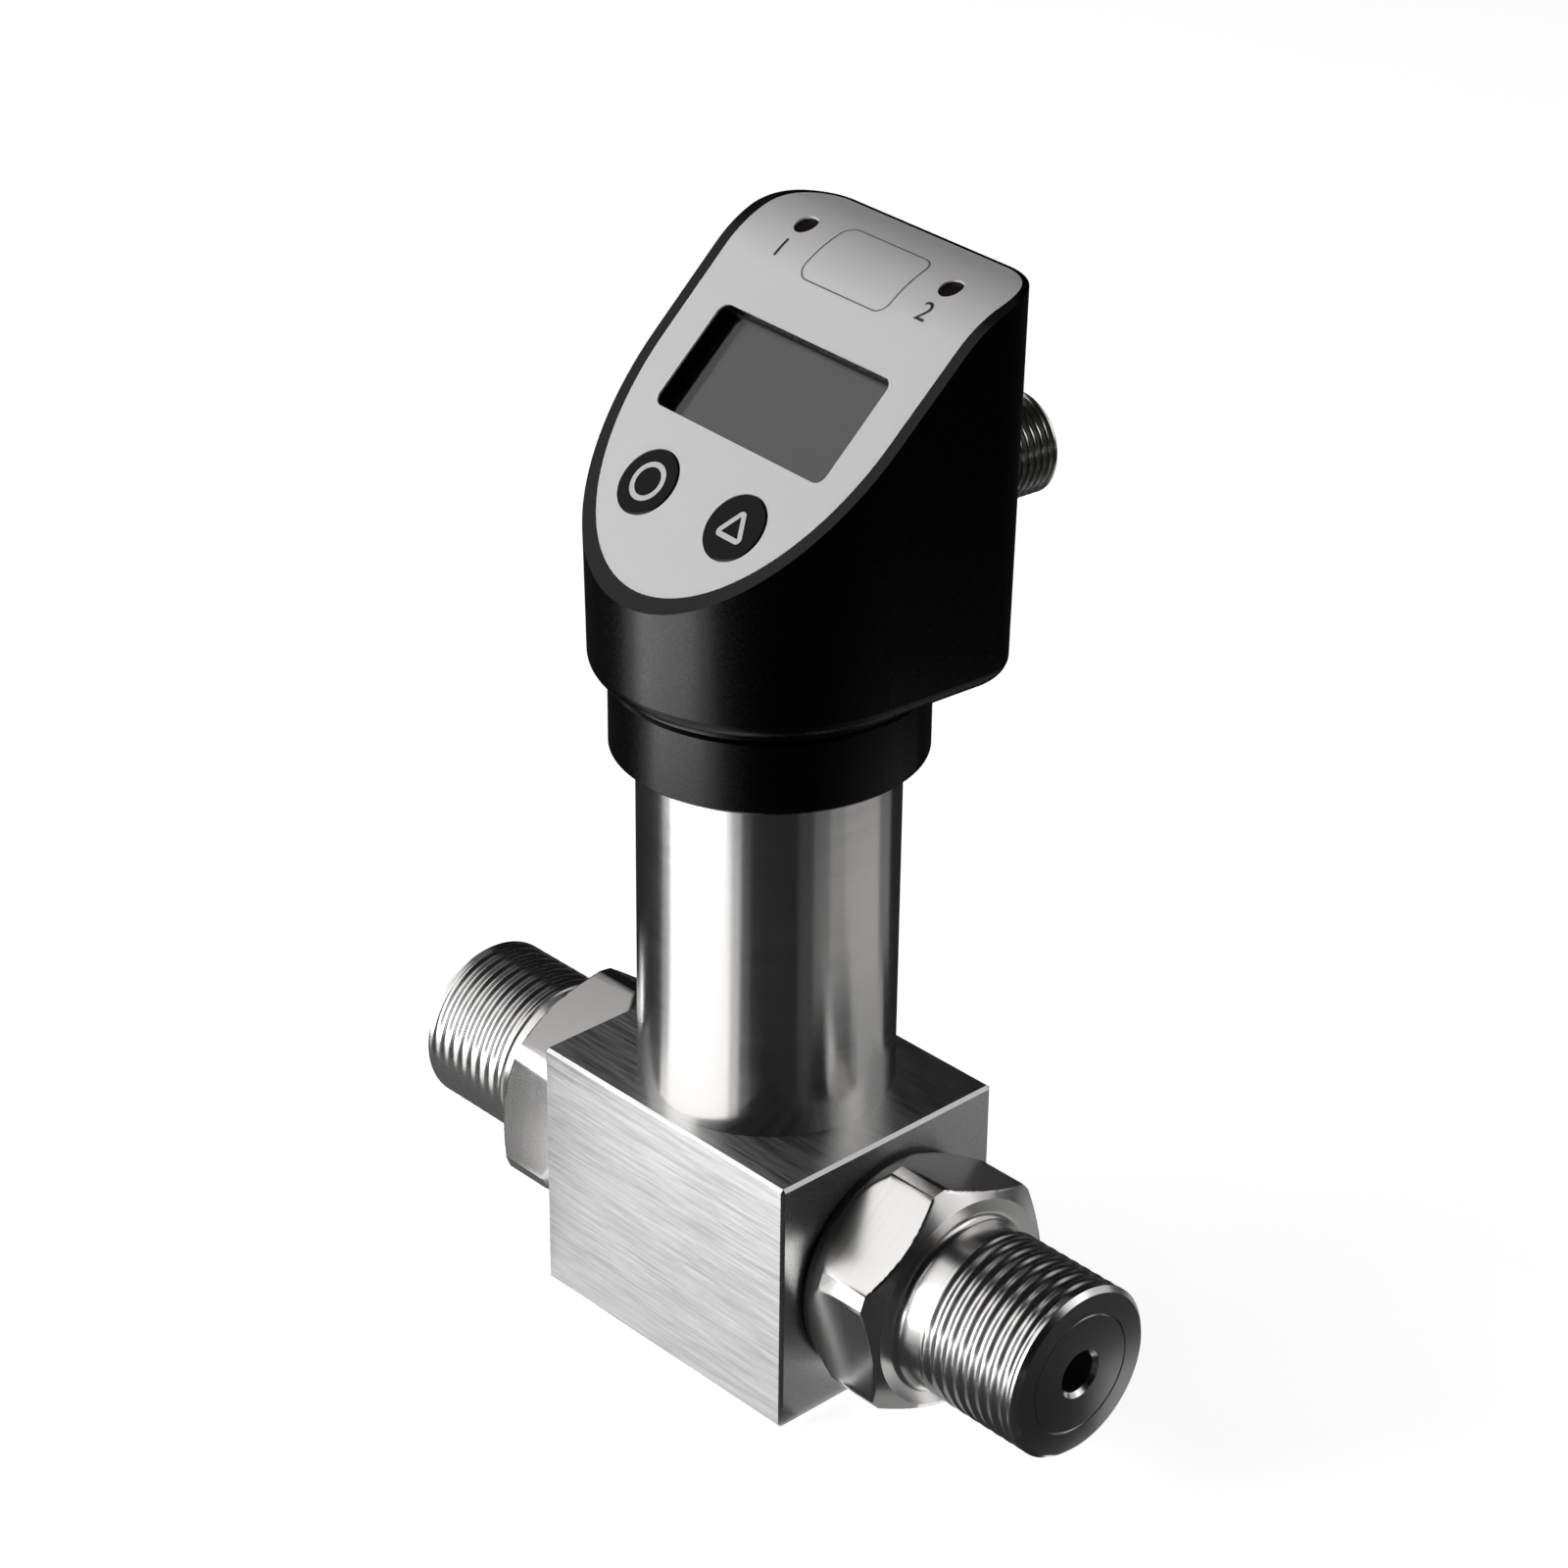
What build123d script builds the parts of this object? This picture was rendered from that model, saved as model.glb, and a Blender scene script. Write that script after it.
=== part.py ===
from build123d import *
from math import cos, radians, sin, tan
import os

# Differential pressure switch, in millimetres.
# X runs through the two pressure ports, -Y is the display side, +Z is up.
# The origin is the middle of the block's bottom face, on the axis of the stem.

# Manifold block
block_length = 41.0
block_depth = 33.0
block_height = 32.5
block_edge = 0.4
lead_bore_r = 5.0
spigot_height = 2.0

# Port fittings: a G1/2 male thread beside a 27 mm hexagon
port_thread_r = 20.955 / 2
thread_pitch = 1.814
thread_turns = 8
thread_depth = 1.0
thread_crest = 0.3
port_end = 51.0
port_end_chamfer = 0.3
port_land = 1.7
port_neck_r = 10.1
port_neck_length = 2.1
port_groove_r = 9.5
port_groove_length = 0.9
port_ring_r = 7.4
port_ring_width = 0.3
port_ring_depth = 0.25
port_bore_r = 2.5
port_bore_chamfer = 0.5
hex_across_flats = 27.0
hex_turned_r = 15.1
hex_length = 6.7
hex_chamfer_angle = 30.0
hex_turn_high = 20.8
hex_turn_low = 37.3
flange_r = 14.1
flange_length = 3.8
flange_edge = 0.3
spigot_r = 12.0
spigot_length = 12.2
spigot_clearance = 0.1
seal_groove_low_r = 12.2
seal_groove_high_r = 13.7
seal_groove_depth = 1.45
fitting_seal_section = 0.7

# Differential capsule and the strips that leave it
capsule_r = 9.5
capsule_length = 13.0
capsule_clearance = 0.1
capsule_recess_r = 5.6
capsule_recess_depth = 1.2
diaphragm_r = 5.4
diaphragm_thickness = 0.3
capsule_seal_r = 7.4
capsule_seal_section = 0.85
lead_width = 4.0
lead_thickness = 0.3
lead_overlap = 6.0
lead_gap = 0.1

# Stem
stem_r = 15.0
stem_wall = 2.0
stem_height = 47.5
stem_clearance = 0.05
holder_clearance = 0.1
holder_height = 5.0
holder_slot_depth = 2.9
holder_hole_r = 2.8
amplifier_width = 22.0
amplifier_height = 33.0
board_thickness = 1.6
board_clearance = 0.1
cable_r = 1.8
cable_gap = 0.3

# Swivel collar, fixed on the stem
collar_r = 18.0
collar_height = 8.8
collar_socket = 4.7
collar_passage_r = 9.0
collar_edge = 0.35
hub_r = 13.2
hub_height = 6.7
hub_edge = 0.5
swivel_clearance = 0.05
seam_gap = 0.25
hub_groove_height = 1.0
hub_groove_width = 1.9
hub_groove_depth = 1.7
swivel_seal_section = 0.8
swivel_seal_gap = 0.05
ring_height = 3.85
ring_thickness = 1.1
ring_groove_depth = 1.0
ring_lip = 1.6
ring_gap = 7.0
ring_clearance = 0.05
stop_pin_r = 0.75
stop_pin_gap = 2.2
stop_pin_sunk = 2.5
stop_pin_proud = 1.5
stop_pin_clearance = 0.05
stop_groove_clearance = 0.3
stop_groove_depth = 1.7
stop_land_width = 6.0

# Head: a round-fronted moulding that widens upwards, with a flat back
head_turn = -4.3
head_half_width = 20.2
head_top_half_width = 21.1
head_top = 130.2
head_back = 21.6
head_corner = 8.2
head_wall = 2.4
head_floor = 2.5
head_edge = 1.9
head_neck = 0.85
rim_width = 1.5
rim_back_width = 0.45
rib_height = 6.4
rib_gap = 1.0
rib_outer_r = 18.6
rib_thickness = 1.6
rib_angle = 45.0
rib_side_y = 6.0

# Slanted face: a straight slope that bends over into the top
face_angle = 43.8
face_height = 117.45
face_bend_start = 12.12
face_bend_r = 15.54

# Pieces in the face, sunk below it along its normal
label_thickness = 0.25
panel_thickness = 2.2
panel_clearance = 0.05
window_width = 28.6
window_height = 13.5
window_corner = 1.3
window_rise = -0.45
lens_depth = 1.7
lens_margin = 1.1
lens_thickness = 1.1
lens_clearance = 0.1
lcd_gap = 0.3
lcd_thickness = 2.5
display_board_half_width = 15.6
display_board_low = -18.6
display_board_high = 10.6
display_board_inset = 0.7
post_r = 1.25
post_places = ((-12.0, 9.0), (12.0, 9.0), (-14.2, -11.2), (14.2, -11.2))
post_hole_r = 0.65
post_hole_depth = 1.7
screw_r = 0.6
screw_length = 3.2
screw_head_r = 1.3
screw_head = 0.8
screw_clearance = 0.15

# Buttons and the switches below them
button_r = 4.0
button_x = 7.53
button_rise = -15.26
button_travel = 0.5
button_clearance = 0.08
button_proud = 0.1
button_edge = 0.15
button_flange_r = 4.9
button_flange_depth = 2.5
button_flange = 0.7
button_stem_r = 1.5
button_stem = 0.25
switch_side = 5.0
switch_gap = 0.05
switch_dome_r = 1.2
switch_dome = 0.4

# Status lights
light_x = 12.06
light_y = 14.17
light_r = 1.4
light_clearance = 0.05
light_sink = 0.3
light_gap = 0.3
led_length = 3.0
led_height = 0.8

# Boards in the head
rear_board_y = 13.3
rear_board_half_width = 16.2
rear_board_lift = 3.5
rear_board_height = 33.3
guide_overlap = 1.0
guide_thickness = 0.9
guide_height = 30.0
main_board_inset = 0.6
main_board_back = 11.9
main_board_corner = 1.0
plug_r = 4.0
plug_height = 4.0

# M12 connector in the head's back
connector_lift = 14.2
connector_thread_r = 6.0
connector_end = 36.6
connector_edge = 0.4
connector_bore_r = 4.45
connector_socket = 9.0
connector_flange_r = 7.6
connector_flange = 1.6
connector_clearance = 0.1
connector_lip_r = 3.7
connector_lip = 1.6
boss_r = 8.6
boss_length = 2.8
boss_edge = 0.6
connector_groove_low_r = 6.2
connector_groove_high_r = 7.15
connector_groove_depth = 0.95
connector_seal_section = 0.45
insert_clearance = 0.05
key_width = 1.2
key_depth = 0.7
key_setback = 0.8
pin_r = 0.5
pin_circle_r = 2.55
pin_setback = 1.4
pin_tail = 0.7
pin_hole_clearance = 0.1
nut_across_flats = 14.5
nut_thickness = 2.0

# Heights, lengths and depths worked out from the sizes above
port_height = block_height / 2
block_side = block_length / 2
spigot_end = block_side - spigot_length
hex_start = block_side + flange_length
hex_end = hex_start + hex_length
neck_start = hex_end + port_groove_length
thread_start = neck_start + port_neck_length
thread_end = port_end - port_land
groove_half = (thread_pitch - thread_crest) / 2
capsule_end = capsule_length / 2
stem_inner_r = stem_r - stem_wall
stem_top = block_height + stem_height
holder_bottom = block_height + spigot_height
amplifier_bottom = holder_bottom + holder_height - holder_slot_depth
amplifier_top = amplifier_bottom + amplifier_height
collar_bottom = stem_top - collar_socket
collar_top = collar_bottom + collar_height
hub_top = collar_top + hub_height
hub_groove_bottom = collar_top + hub_groove_height
hub_groove_top = hub_groove_bottom + hub_groove_width
hub_groove_r = hub_r - hub_groove_depth
ring_bottom = collar_top + ring_height
ring_top = ring_bottom + ring_thickness
ring_groove_r = hub_r - ring_groove_depth
ring_outer_r = hub_r + ring_lip
rib_inner_r = ring_outer_r + rib_gap
stop_pin_circle_r = hub_r + stop_pin_gap
neck_bottom = collar_top + seam_gap
body_bottom = neck_bottom + head_neck
floor_top = body_bottom + head_floor
main_board_bottom = floor_top + rib_height
rear_board_bottom = floor_top + rear_board_lift
connector_height = floor_top + connector_lift
face_reach = head_top_half_width + head_back
column_top = face_height + head_back
panel_back = label_thickness + panel_thickness
lens_width = window_width + 2 * lens_margin
lens_height = window_height + 2 * lens_margin
lens_corner = window_corner + lens_margin
lcd_front = lens_depth + lens_thickness + lcd_gap
display_board_front = lcd_front + lcd_thickness
display_board_back = display_board_front + board_thickness
button_places = ((-button_x, button_rise), (button_x, button_rise))
button_back = button_flange_depth + button_flange + button_stem
switch_front = button_back + button_travel + switch_gap
rear_board_back = rear_board_y + board_thickness
rear_board_top = rear_board_bottom + rear_board_height
light_bottom = rear_board_top + led_height + light_gap
inner_back = head_back - head_wall
boss_end = head_back + boss_length
nut_front = inner_back - nut_thickness
socket_floor = connector_end - connector_socket
insert_start = nut_front + connector_lip
port_axis = Axis((0, 0, port_height), (1, 0, 0))
port_profile_plane = Plane(origin=(0, 0, port_height), x_dir=(1, 0, 0), z_dir=(0, -1, 0))


# Planes of the object
def side_plane(x):
    """Give the plane across the port axis at x, centred on that axis"""
    return Plane(origin=(x, 0, port_height), x_dir=(0, 1, 0), z_dir=(1, 0, 0))


def face_plane(depth=0.0):
    """Give the plane of the slanted face, sunk by depth, with its y up the slope"""
    slope = radians(face_angle)
    plane = Plane(origin=(0, 0, face_height), x_dir=(1, 0, 0), z_dir=(0, -sin(slope), cos(slope)))
    return plane.offset(-depth)


def back_plane(y):
    """Give the plane across the connector's axis at y, facing backwards"""
    return Plane(origin=(0, y, connector_height), x_dir=(-1, 0, 0), z_dir=(0, 1, 0))


# Outlines and solids of the head, before it is turned
def face_point(rise, depth):
    """Give the side view's point at a rise along the slope and a depth below it"""
    slope = radians(face_angle)
    y = rise * cos(slope) + depth * sin(slope)
    z = face_height + rise * sin(slope) - depth * cos(slope)
    return y, z


def half_width_at(z):
    """Give the head's half width at a height, from its draft"""
    share = (z - body_bottom) / (head_top - body_bottom)
    return head_half_width + share * (head_top_half_width - head_half_width)


def head_outline(half_width, back, corner):
    """Draw a half circle in front, straight sides and a flat back with round corners"""
    with BuildLine() as outline:
        ThreePointArc((-half_width, 0), (0, -half_width), (half_width, 0))
        FilletPolyline(
            (half_width, 0), (half_width, back), (-half_width, back), (-half_width, 0), radius=corner
        )
    return outline.edges()


def head_column(inset, back_inset, bottom):
    """Loft the drafted outline, inset from the outside, from a height to above the face"""
    with BuildPart() as column:
        for z in (bottom, column_top):
            half_width = half_width_at(z) - inset
            with BuildSketch(Plane.XY.offset(z)):
                make_face(head_outline(half_width, head_back - back_inset, head_corner - inset))
        loft(ruled=True)
    return column.part


def above_face(depth):
    """Make the solid of everything above the face's curved surface, sunk by depth"""
    centre_y, centre_z = face_point(face_bend_start, face_bend_r)
    low_y, low_z = face_point(-face_reach, depth)
    crown_z = centre_z + face_bend_r - depth
    with BuildPart() as above:
        with BuildSketch(Plane.YZ):
            with BuildLine():
                slope = Line((low_y, low_z), face_point(face_bend_start, depth))
                TangentArc(slope @ 1, (centre_y, crown_z), tangent=slope % 1)
                Polyline(
                    (centre_y, crown_z),
                    (face_reach, crown_z),
                    (face_reach, crown_z + face_reach),
                    (low_y, crown_z + face_reach),
                    (low_y, low_z),
                )
            make_face()
        extrude(amount=face_reach, both=True)
    return above.part


def face_layer(depth, thickness):
    """Make a layer of the face inside the rim, from a depth and with a thickness"""
    inset = rim_width + panel_clearance
    column = head_column(inset, rim_back_width + panel_clearance, body_bottom)
    return column & (above_face(depth + thickness) - above_face(depth))


# Manifold block
with BuildPart() as manifold_block:
    with BuildSketch(Plane.XY):
        Rectangle(block_length, block_depth)
    extrude(amount=block_height)
    chamfer(manifold_block.edges(), block_edge)
    with BuildSketch(Plane.XY.offset(block_height)):
        Circle(stem_inner_r - stem_clearance)
    extrude(amount=spigot_height)
    with BuildSketch(Plane.XY.offset(port_height)):
        Circle(lead_bore_r)
    extrude(amount=block_height, mode=Mode.SUBTRACT)
    with BuildSketch(side_plane(0)):
        Circle(capsule_r + capsule_clearance)
    extrude(amount=block_side, both=True, mode=Mode.SUBTRACT)
    with BuildSketch(side_plane(spigot_end - spigot_clearance)):
        Circle(spigot_r + spigot_clearance)
    fitting_bores = extrude(amount=block_side, mode=Mode.SUBTRACT)
    mirror(fitting_bores, about=Plane.YZ, mode=Mode.SUBTRACT)


# Port fittings
def port_fitting(side, hex_turn):
    """Turn one fitting along the X axis, add its hexagon and put it on its side"""
    bevel = (hex_turned_r - port_neck_r) / 2
    bevel_run = bevel * tan(radians(hex_chamfer_angle))
    with BuildPart() as hexagon:
        with BuildSketch(port_profile_plane):
            with BuildLine():
                Polyline(
                    (hex_start, port_bore_r),
                    (hex_start, hex_turned_r),
                    (hex_end - bevel_run, hex_turned_r),
                    (hex_end, hex_turned_r - bevel),
                    (hex_end, port_bore_r),
                    close=True,
                )
            make_face()
        revolve(axis=port_axis)
        with BuildSketch(side_plane(hex_start)):
            RegularPolygon(hex_across_flats / 2, 6, major_radius=False, rotation=180 - hex_turn)
        extrude(amount=hex_length, mode=Mode.INTERSECT)
    with BuildPart() as fitting:
        with BuildSketch(port_profile_plane):
            with BuildLine():
                Polyline(
                    (spigot_end, port_bore_r),
                    (spigot_end, spigot_r),
                    (block_side, spigot_r),
                    (block_side, seal_groove_low_r),
                    (block_side + seal_groove_depth, seal_groove_low_r),
                    (block_side + seal_groove_depth, seal_groove_high_r),
                    (block_side, seal_groove_high_r),
                    (block_side, flange_r - flange_edge),
                    (block_side + flange_edge, flange_r),
                    (hex_start, flange_r),
                    (hex_start, port_groove_r),
                    (neck_start, port_groove_r),
                    (neck_start, port_neck_r),
                    (thread_start, port_neck_r),
                    (thread_start, port_thread_r),
                    (port_end - port_end_chamfer, port_thread_r),
                    (port_end, port_thread_r - port_end_chamfer),
                    (port_end, port_ring_r),
                    (port_end - port_ring_depth, port_ring_r),
                    (port_end - port_ring_depth, port_ring_r - port_ring_width),
                    (port_end, port_ring_r - port_ring_width),
                    (port_end, port_bore_r + port_bore_chamfer),
                    (port_end - port_bore_chamfer, port_bore_r),
                    close=True,
                )
            make_face()
        revolve(axis=port_axis)
        with BuildSketch(port_profile_plane):
            for turn in range(thread_turns):
                with Locations((thread_end - (turn + 0.5) * thread_pitch, port_thread_r)):
                    Polygon(
                        (-groove_half, thread_crest),
                        (-groove_half, 0),
                        (0, -thread_depth),
                        (groove_half, 0),
                        (groove_half, thread_crest),
                        align=None,
                    )
        revolve(axis=port_axis, mode=Mode.SUBTRACT)
        add(hexagon.part)
    if side < 0:
        fitting.part = fitting.part.mirror(Plane.YZ)
    return fitting


port_fitting_high = port_fitting(1, hex_turn_high)
port_fitting_low = port_fitting(-1, hex_turn_low)

# Seals under the fittings' flanges
with BuildPart() as fitting_seals:
    with BuildSketch(port_profile_plane):
        with Locations((
            block_side + fitting_seal_section,
            (seal_groove_low_r + seal_groove_high_r) / 2,
        )):
            Circle(fitting_seal_section)
    revolve(axis=port_axis)
    mirror(about=Plane.YZ)

# Differential capsule with a recess in each end
with BuildPart() as differential_capsule:
    with BuildSketch(side_plane(0)):
        Circle(capsule_r)
    extrude(amount=capsule_end, both=True)
    with BuildSketch(side_plane(capsule_end)):
        Circle(capsule_recess_r)
    recess = extrude(amount=-capsule_recess_depth, mode=Mode.SUBTRACT)
    mirror(recess, about=Plane.YZ, mode=Mode.SUBTRACT)

with BuildPart() as capsule_diaphragms:
    with BuildSketch(side_plane(capsule_end - capsule_recess_depth)):
        Circle(diaphragm_r)
    extrude(amount=diaphragm_thickness)
    mirror(about=Plane.YZ)

with BuildPart() as capsule_seals:
    with BuildSketch(port_profile_plane):
        with Locations(((capsule_end + spigot_end) / 2, capsule_seal_r)):
            Circle(capsule_seal_section)
    revolve(axis=port_axis)
    mirror(about=Plane.YZ)

# Strip from the capsule up to the face of the amplifier board
with BuildPart() as capsule_leads:
    with BuildSketch(Plane.XY.offset(port_height + capsule_r + lead_gap)):
        with Locations((0, (board_thickness + lead_thickness) / 2)):
            Rectangle(lead_width, lead_thickness)
    extrude(amount=amplifier_bottom + lead_overlap - port_height - capsule_r - lead_gap)

# Stem tube and the board inside it
with BuildPart() as stem_tube:
    with BuildSketch(Plane.XY.offset(block_height)):
        Circle(stem_r)
        Circle(stem_inner_r, mode=Mode.SUBTRACT)
    extrude(amount=stem_height)

with BuildPart() as board_holder:
    with BuildSketch(Plane.XY.offset(holder_bottom)):
        Circle(stem_inner_r - holder_clearance)
        Circle(holder_hole_r, mode=Mode.SUBTRACT)
    extrude(amount=holder_height)
    with BuildSketch(Plane.XY.offset(amplifier_bottom)):
        Rectangle(amplifier_width + 2 * board_clearance, board_thickness + 2 * board_clearance)
    extrude(amount=holder_slot_depth, mode=Mode.SUBTRACT)

with BuildPart() as amplifier_board:
    with BuildSketch(Plane.XY.offset(amplifier_bottom)):
        Rectangle(amplifier_width, board_thickness)
    extrude(amount=amplifier_height)

with BuildPart() as signal_cable:
    with BuildSketch(Plane.XY.offset(amplifier_top + cable_gap)):
        Circle(cable_r)
    extrude(amount=main_board_bottom - plug_height - amplifier_top - 2 * cable_gap)

# Swivel collar: a socket below for the stem, a hub above for the head
with BuildPart() as swivel_collar:
    with BuildSketch(Plane.XZ):
        with BuildLine():
            Polyline(
                (stem_r + stem_clearance, collar_bottom),
                (collar_r - collar_edge, collar_bottom),
                (collar_r, collar_bottom + collar_edge),
                (collar_r, collar_top - collar_edge),
                (collar_r - collar_edge, collar_top),
                (hub_r, collar_top),
                (hub_r, hub_groove_bottom),
                (hub_groove_r, hub_groove_bottom),
                (hub_groove_r, hub_groove_top),
                (hub_r, hub_groove_top),
                (hub_r, ring_bottom - ring_clearance),
                (ring_groove_r, ring_bottom - ring_clearance),
                (ring_groove_r, ring_top + ring_clearance),
                (hub_r, ring_top + ring_clearance),
                (hub_r, hub_top - hub_edge),
                (hub_r - hub_edge, hub_top),
                (collar_passage_r, hub_top),
                (collar_passage_r, stem_top),
                (stem_r + stem_clearance, stem_top),
                close=True,
            )
        make_face()
    revolve(axis=Axis.Z)
    with BuildSketch(Plane.XY.offset(collar_top)):
        with Locations((0, stop_pin_circle_r)):
            Circle(stop_pin_r + stop_pin_clearance)
    extrude(amount=-stop_pin_sunk, mode=Mode.SUBTRACT)

with BuildPart() as swivel_seal:
    with BuildSketch(Plane.XZ):
        with Locations((
            hub_groove_r + swivel_seal_gap + swivel_seal_section,
            (hub_groove_bottom + hub_groove_top) / 2,
        )):
            Circle(swivel_seal_section)
    revolve(axis=Axis.Z)

with BuildPart() as swivel_ring:
    with BuildSketch(Plane.XY.offset(ring_bottom)):
        Circle(ring_outer_r)
        Circle(ring_groove_r + ring_clearance, mode=Mode.SUBTRACT)
        with Locations((0, -ring_outer_r)):
            Rectangle(ring_gap, ring_outer_r, mode=Mode.SUBTRACT)
    extrude(amount=ring_thickness)

with BuildPart() as stop_pin:
    with BuildSketch(Plane.XY.offset(collar_top - stop_pin_sunk)):
        with Locations((0, stop_pin_circle_r)):
            Circle(stop_pin_r)
    extrude(amount=stop_pin_sunk + stop_pin_proud)

# Head housing: the drafted shell, its neck, its supports and its rear boss
outside = head_column(0, 0, body_bottom)
cavity = head_column(head_wall, head_wall, floor_top)
panel_seat = head_column(rim_width, rim_back_width, body_bottom) & above_face(panel_back)
groove_low_r = stop_pin_circle_r - stop_pin_r - stop_groove_clearance
groove_high_r = stop_pin_circle_r + stop_pin_r + stop_groove_clearance
rib_length = rib_outer_r - rib_inner_r
rib_middle_r = (rib_outer_r + rib_inner_r) / 2
guide_start = rear_board_half_width - guide_overlap
guide_middle = (guide_start + rib_outer_r) / 2
rear_slot = board_thickness + 2 * board_clearance
rear_board_middle = (rear_board_y + rear_board_back) / 2

with BuildPart() as head_housing:
    add(outside)
    fillet(head_housing.edges().filter_by(Plane.XY).group_by(Axis.Z)[0], head_edge)
    with BuildSketch(Plane.XY.offset(neck_bottom)):
        Circle(collar_r)
    extrude(amount=head_neck)
    with BuildSketch(back_plane(inner_back)):
        Circle(boss_r)
    extrude(amount=boss_end - inner_back)
    chamfer(head_housing.edges().filter_by(GeomType.CIRCLE).group_by(Axis.Y)[-1], boss_edge)
    add(cavity, mode=Mode.SUBTRACT)
    add(panel_seat, mode=Mode.SUBTRACT)
    add(above_face(0), mode=Mode.SUBTRACT)
    with BuildSketch(Plane.XY.offset(floor_top)):
        with PolarLocations(rib_middle_r, 2, -90 - rib_angle, 2 * rib_angle, endpoint=True):
            Rectangle(rib_length, rib_thickness)
        with Locations((-rib_middle_r, rib_side_y), (rib_middle_r, rib_side_y)):
            Rectangle(rib_length, rib_thickness)
    extrude(amount=rib_height)
    with BuildSketch(Plane.XY.offset(floor_top)):
        with Locations((-guide_middle, rear_board_middle), (guide_middle, rear_board_middle)):
            Rectangle(rib_outer_r - guide_start, rear_slot + 2 * guide_thickness)
    extrude(amount=guide_height)
    with BuildSketch(Plane.XY.offset(rear_board_bottom)):
        with Locations((0, rear_board_middle)):
            Rectangle(2 * (rear_board_half_width + board_clearance), rear_slot)
    extrude(amount=rear_board_height, mode=Mode.SUBTRACT)
    with BuildSketch(Plane.XY.offset(neck_bottom)):
        Circle(hub_r + swivel_clearance)
    extrude(amount=floor_top - neck_bottom, mode=Mode.SUBTRACT)
    with BuildSketch(Plane.XY.offset(neck_bottom)):
        Circle(groove_high_r)
        Circle(groove_low_r, mode=Mode.SUBTRACT)
        with Locations((0, -stop_pin_circle_r)):
            Rectangle(stop_land_width, stop_pin_circle_r, mode=Mode.SUBTRACT)
    extrude(amount=stop_groove_depth, mode=Mode.SUBTRACT)
    with BuildSketch(back_plane(inner_back)):
        Circle(connector_thread_r + connector_clearance)
    extrude(amount=boss_end - inner_back, mode=Mode.SUBTRACT)

# Label and the panel below it, which carries the display and the buttons
label_layer = face_layer(0, label_thickness)
panel_layer = face_layer(label_thickness, panel_thickness)

with BuildPart() as face_openings:
    with BuildSketch(face_plane()):
        with Locations((0, window_rise)):
            RectangleRounded(window_width, window_height, window_corner)
        with Locations(*button_places):
            Circle(button_r + button_clearance)
    extrude(amount=-panel_back)
    with BuildSketch(Plane.XY.offset(light_bottom)):
        with Locations((-light_x, light_y), (light_x, light_y)):
            Circle(light_r)
    extrude(amount=column_top - light_bottom)

with BuildPart() as face_label:
    add(label_layer)
    add(face_openings.part, mode=Mode.SUBTRACT)

with BuildPart() as face_panel:
    add(panel_layer)
    add(face_openings.part, mode=Mode.SUBTRACT)
    with BuildSketch(face_plane(lens_depth)):
        with Locations((0, window_rise)):
            RectangleRounded(
                lens_width + 2 * lens_clearance, lens_height + 2 * lens_clearance, lens_corner
            )
    extrude(amount=lens_depth - panel_back, mode=Mode.SUBTRACT)
    with BuildSketch(face_plane(panel_back)):
        with Locations(*post_places):
            Circle(post_r)
    extrude(amount=panel_back - display_board_front)
    with BuildSketch(face_plane(display_board_front)):
        with Locations(*post_places):
            Circle(post_hole_r)
    extrude(amount=post_hole_depth, mode=Mode.SUBTRACT)

with BuildPart() as display_window:
    with BuildSketch(face_plane(lens_depth)):
        with Locations((0, window_rise)):
            RectangleRounded(lens_width, lens_height, lens_corner)
    extrude(amount=-lens_thickness)

with BuildPart() as lcd_module:
    with BuildSketch(face_plane(lcd_front)):
        with Locations((0, window_rise)):
            Rectangle(lens_width, lens_height)
    extrude(amount=-lcd_thickness)

# Display board, trimmed to the inside of the housing, and its screws
board_limit = head_column(head_wall + display_board_inset, head_wall, floor_top)
with BuildPart() as display_board:
    with BuildSketch(face_plane(display_board_front)):
        with Locations((0, (display_board_low + display_board_high) / 2)):
            Rectangle(2 * display_board_half_width, display_board_high - display_board_low)
        with Locations(*post_places):
            Circle(screw_r + screw_clearance, mode=Mode.SUBTRACT)
    extrude(amount=-board_thickness)
    add(board_limit, mode=Mode.INTERSECT)

with BuildPart() as display_screws:
    with BuildSketch(face_plane(display_board_back)):
        with Locations(*post_places):
            Circle(screw_r)
    extrude(amount=screw_length)
    with BuildSketch(face_plane(display_board_back)):
        with Locations(*post_places):
            Circle(screw_head_r)
    extrude(amount=-screw_head)


# Buttons with a retaining flange, and the switches behind them
def press_button(place):
    """Make one button at its place on the slanted face"""
    with BuildPart() as button:
        with BuildSketch(face_plane(-button_proud)):
            with Locations(place):
                Circle(button_r)
        extrude(amount=-button_proud - button_flange_depth)
        top_edge = button.edges().filter_by(GeomType.CIRCLE).group_by(Axis.Z)[-1]
        chamfer(top_edge, button_edge)
        with BuildSketch(face_plane(button_flange_depth)):
            with Locations(place):
                Circle(button_flange_r)
        extrude(amount=-button_flange)
        with BuildSketch(face_plane(button_flange_depth + button_flange)):
            with Locations(place):
                Circle(button_stem_r)
        extrude(amount=-button_stem)
    return button


def tact_switch(place):
    """Make one switch on the display board, with a dome below the button's stem"""
    with BuildPart() as switch:
        with BuildSketch(face_plane(switch_front)):
            with Locations(place):
                Circle(switch_dome_r)
        extrude(amount=-switch_dome)
        with BuildSketch(face_plane(switch_front + switch_dome)):
            with Locations(place):
                Rectangle(switch_side, switch_side)
        extrude(amount=switch_front + switch_dome - display_board_front)
    return switch


button_left, button_right = [press_button(place) for place in button_places]
tact_switch_left, tact_switch_right = [tact_switch(place) for place in button_places]


# Light pipes, cut to the curve of the face, above the lights on the rear board
above_light = above_face(light_sink)


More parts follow.
